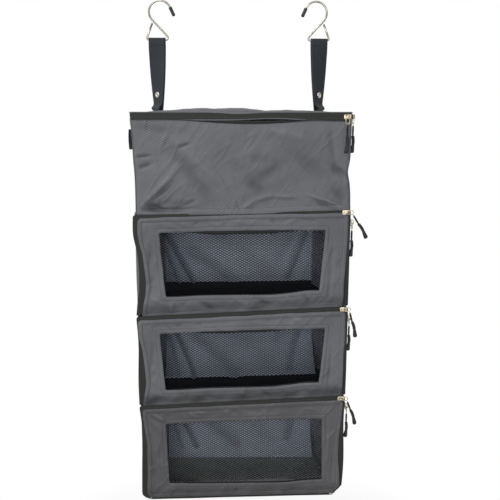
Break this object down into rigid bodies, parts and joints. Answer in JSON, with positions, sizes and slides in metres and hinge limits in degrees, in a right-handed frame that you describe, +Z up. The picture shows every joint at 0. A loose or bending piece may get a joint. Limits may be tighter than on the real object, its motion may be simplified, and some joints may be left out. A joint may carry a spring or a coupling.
{
  "type": "hanging organizer",
  "caption": "Tall soft organizer of stacked compartments with zipped net-window doors and a zipped lid, hung from a rail by webbing straps on wire hooks.",
  "frame": {"origin": "on top of the rail, where the inner crowns of the two hooks bear on it, midway between them", "axes": "+Z up, -Y out of the zipped front, +X to the right as seen from the front"},
  "size_m": [0.3249, 0.1548, 0.7269],
  "materials": {
    "grey_fabric": "fine woven polyester, softly creased",
    "black_board": "black cloth over a stiff board",
    "zip_tape": "woven zip tape with coil teeth",
    "netting": "knitted polyester net",
    "webbing": "woven webbing",
    "hook_steel": "bright plated wire",
    "sleeve_plastic": "dipped black plastic",
    "zip_metal": "nickel-plated die casting",
    "pull_plastic": "black cord with a moulded grip"
  },
  "bodies": {
    "hooks": {"hook_left": "hook_steel", "hook_right": "hook_steel", "hook_tip_left": "sleeve_plastic", "hook_tip_right": "sleeve_plastic"},
    "bag": {"strap_left": "webbing", "strap_right": "webbing", "snap_stud_left": "hook_steel", "snap_stud_right": "hook_steel", "side_left": "grey_fabric", "side_right": "grey_fabric", "side_tab": "webbing", "back_panel": "grey_fabric", "pocket_front": "grey_fabric", "pocket_floor": "black_board", "upper_floor": "black_board", "middle_floor": "black_board", "base_panel": "black_board", "pocket_tape": "zip_tape", "tape_upper": "zip_tape", "tape_middle": "zip_tape", "tape_lower": "zip_tape"},
    "lid": {"lid_panel": "grey_fabric", "lid_tape": "zip_tape"},
    "tail_left": {"strap_tail_left": "webbing", "snap_cap_left": "hook_steel"},
    "tail_right": {"strap_tail_right": "webbing", "snap_cap_right": "hook_steel"},
    "upper_door": {"door_upper": "grey_fabric", "net_upper": "netting", "door_tape_upper": "zip_tape"},
    "middle_door": {"door_middle": "grey_fabric", "net_middle": "netting", "door_tape_middle": "zip_tape"},
    "lower_door": {"door_lower": "grey_fabric", "net_lower": "netting", "door_tape_lower": "zip_tape"},
    "lid_front_slider": {"slider_lid_front": "zip_metal"},
    "lid_front_ring": {"ring_lid_front": "zip_metal"},
    "lid_front_pull": {"pull_lid_front": "pull_plastic"},
    "lid_side_slider": {"slider_lid_side": "zip_metal"},
    "lid_side_ring": {"ring_lid_side": "zip_metal"},
    "lid_side_pull": {"pull_lid_side": "pull_plastic"},
    "upper_top_slider": {"slider_upper_top": "zip_metal"},
    "upper_top_ring": {"ring_upper_top": "zip_metal"},
    "upper_top_pull": {"pull_upper_top": "pull_plastic"},
    "upper_side_slider": {"slider_upper_side": "zip_metal"},
    "upper_side_ring": {"ring_upper_side": "zip_metal"},
    "upper_side_pull": {"pull_upper_side": "pull_plastic"},
    "middle_top_slider": {"slider_middle_top": "zip_metal"},
    "middle_top_ring": {"ring_middle_top": "zip_metal"},
    "middle_top_pull": {"pull_middle_top": "pull_plastic"},
    "middle_side_slider": {"slider_middle_side": "zip_metal"},
    "middle_side_ring": {"ring_middle_side": "zip_metal"},
    "middle_side_pull": {"pull_middle_side": "pull_plastic"},
    "lower_top_slider": {"slider_lower_top": "zip_metal"},
    "lower_top_ring": {"ring_lower_top": "zip_metal"},
    "lower_top_pull": {"pull_lower_top": "pull_plastic"},
    "lower_side_slider": {"slider_lower_side": "zip_metal"},
    "lower_side_ring": {"ring_lower_side": "zip_metal"},
    "lower_side_pull": {"pull_lower_side": "pull_plastic"}
  },
  "joints": [
    {"name": "bag_swing", "type": "hinge", "parent": "hooks", "child": "bag", "pos_m": [0, 0, -0.0544], "axis": [-1, 0, 0], "range_deg": [0, 50]},
    {"name": "lid_open", "type": "hinge", "parent": "bag", "child": "lid", "pos_m": [0, -0.0145, -0.1629], "axis": [-1, 0, 0], "range_deg": [0, 80]},
    {"name": "tail_left_lift", "type": "hinge", "parent": "bag", "child": "tail_left", "pos_m": [0, 0, -0.0544], "axis": [1, 0, 0], "range_deg": [-80, 0]},
    {"name": "tail_right_lift", "type": "hinge", "parent": "bag", "child": "tail_right", "pos_m": [0, 0, -0.0544], "axis": [1, 0, 0], "range_deg": [-80, 0]},
    {"name": "upper_door_open", "type": "hinge", "parent": "bag", "child": "upper_door", "pos_m": [0, -0.1375, -0.4366], "axis": [0.9993, 0, 0.037], "range_deg": [0, 110]},
    {"name": "middle_door_open", "type": "hinge", "parent": "bag", "child": "middle_door", "pos_m": [0, -0.1375, -0.5706], "axis": [0.9994, 0, 0.0347], "range_deg": [0, 110]},
    {"name": "lower_door_open", "type": "hinge", "parent": "bag", "child": "lower_door", "pos_m": [0, -0.1375, -0.7206], "axis": [1, 0, 0], "range_deg": [0, 170]},
    {"name": "lid_front_zip", "type": "slide", "parent": "bag", "child": "lid_front_slider", "axis": [-1, 0, 0], "range_m": [0, 0.27]},
    {"name": "lid_front_flip", "type": "hinge", "parent": "lid_front_slider", "child": "lid_front_ring", "pos_m": [0.1418, -0.1398, -0.16855], "axis": [-1, 0, 0], "range_deg": [0, 100]},
    {"name": "lid_front_dangle", "type": "hinge", "parent": "lid_front_ring", "child": "lid_front_pull", "pos_m": [0.1418, -0.1398, -0.17705], "axis": [0, 1, 0], "range_deg": [-40, 40]},
    {"name": "lid_side_zip", "type": "slide", "parent": "bag", "child": "lid_side_slider", "axis": [-0.1827, 0.9832, 0], "range_m": [0, 0.105]},
    {"name": "lid_side_flip", "type": "hinge", "parent": "lid_side_slider", "child": "lid_side_ring", "pos_m": [0.15148, -0.12799, -0.16855], "axis": [0.1827, -0.9832, 0], "range_deg": [0, 100]},
    {"name": "lid_side_dangle", "type": "hinge", "parent": "lid_side_ring", "child": "lid_side_pull", "pos_m": [0.15148, -0.12799, -0.17705], "axis": [-0.9832, -0.1827, 0], "range_deg": [-40, 40]},
    {"name": "upper_top_zip", "type": "slide", "parent": "upper_door", "child": "upper_top_slider", "axis": [-0.9998, 0, -0.0185], "range_m": [0, 0.27]},
    {"name": "upper_top_flip", "type": "hinge", "parent": "upper_top_slider", "child": "upper_top_ring", "pos_m": [0.1444, -0.1398, -0.2966], "axis": [0, 0, -1], "range_deg": [0, 150]},
    {"name": "upper_top_dangle", "type": "hinge", "parent": "upper_top_ring", "child": "upper_top_pull", "pos_m": [0.1522, -0.1398, -0.29897], "axis": [0, -1, 0], "range_deg": [-60, 40]},
    {"name": "upper_side_zip", "type": "slide", "parent": "upper_door", "child": "upper_side_slider", "axis": [0, 0, -1], "range_m": [0, 0.078]},
    {"name": "upper_side_flip", "type": "hinge", "parent": "upper_side_slider", "child": "upper_side_ring", "pos_m": [0.1531, -0.1322, -0.31222], "axis": [0, -1, 0], "range_deg": [0, 120]},
    {"name": "upper_side_dangle", "type": "hinge", "parent": "upper_side_ring", "child": "upper_side_pull", "pos_m": [0.1531, -0.1322, -0.32072], "axis": [-1, 0, 0], "range_deg": [-40, 40]},
    {"name": "middle_top_zip", "type": "slide", "parent": "middle_door", "child": "middle_top_slider", "axis": [-0.9993, 0, -0.037], "range_m": [0, 0.27]},
    {"name": "middle_top_flip", "type": "hinge", "parent": "middle_top_slider", "child": "middle_top_ring", "pos_m": [0.1444, -0.1398, -0.43494], "axis": [0, 0, -1], "range_deg": [0, 150]},
    {"name": "middle_top_dangle", "type": "hinge", "parent": "middle_top_ring", "child": "middle_top_pull", "pos_m": [0.15179, -0.1398, -0.43749], "axis": [0, -1, 0], "range_deg": [-60, 40]},
    {"name": "middle_side_zip", "type": "slide", "parent": "middle_door", "child": "middle_side_slider", "axis": [0, 0, -1], "range_m": [0, 0.078]},
    {"name": "middle_side_flip", "type": "hinge", "parent": "middle_side_slider", "child": "middle_side_ring", "pos_m": [0.1531, -0.1322, -0.45043], "axis": [0, -1, 0], "range_deg": [0, 120]},
    {"name": "middle_side_dangle", "type": "hinge", "parent": "middle_side_ring", "child": "middle_side_pull", "pos_m": [0.1531, -0.1322, -0.45893], "axis": [-1, 0, 0], "range_deg": [-40, 40]},
    {"name": "lower_top_zip", "type": "slide", "parent": "lower_door", "child": "lower_top_slider", "axis": [-0.9994, 0, -0.0347], "range_m": [0, 0.27]},
    {"name": "lower_top_flip", "type": "hinge", "parent": "lower_top_slider", "child": "lower_top_ring", "pos_m": [0.1444, -0.1398, -0.56928], "axis": [0, 0, -1], "range_deg": [0, 150]},
    {"name": "lower_top_dangle", "type": "hinge", "parent": "lower_top_ring", "child": "lower_top_pull", "pos_m": [0.15192, -0.1398, -0.57179], "axis": [0, -1, 0], "range_deg": [-60, 40]},
    {"name": "lower_side_zip", "type": "slide", "parent": "lower_door", "child": "lower_side_slider", "axis": [0, 0, -1], "range_m": [0, 0.108]},
    {"name": "lower_side_flip", "type": "hinge", "parent": "lower_side_slider", "child": "lower_side_ring", "pos_m": [0.1531, -0.1322, -0.58479], "axis": [0, -1, 0], "range_deg": [0, 120]},
    {"name": "lower_side_dangle", "type": "hinge", "parent": "lower_side_ring", "child": "lower_side_pull", "pos_m": [0.1531, -0.1322, -0.59329], "axis": [-1, 0, 0], "range_deg": [-40, 40]}
  ]
}
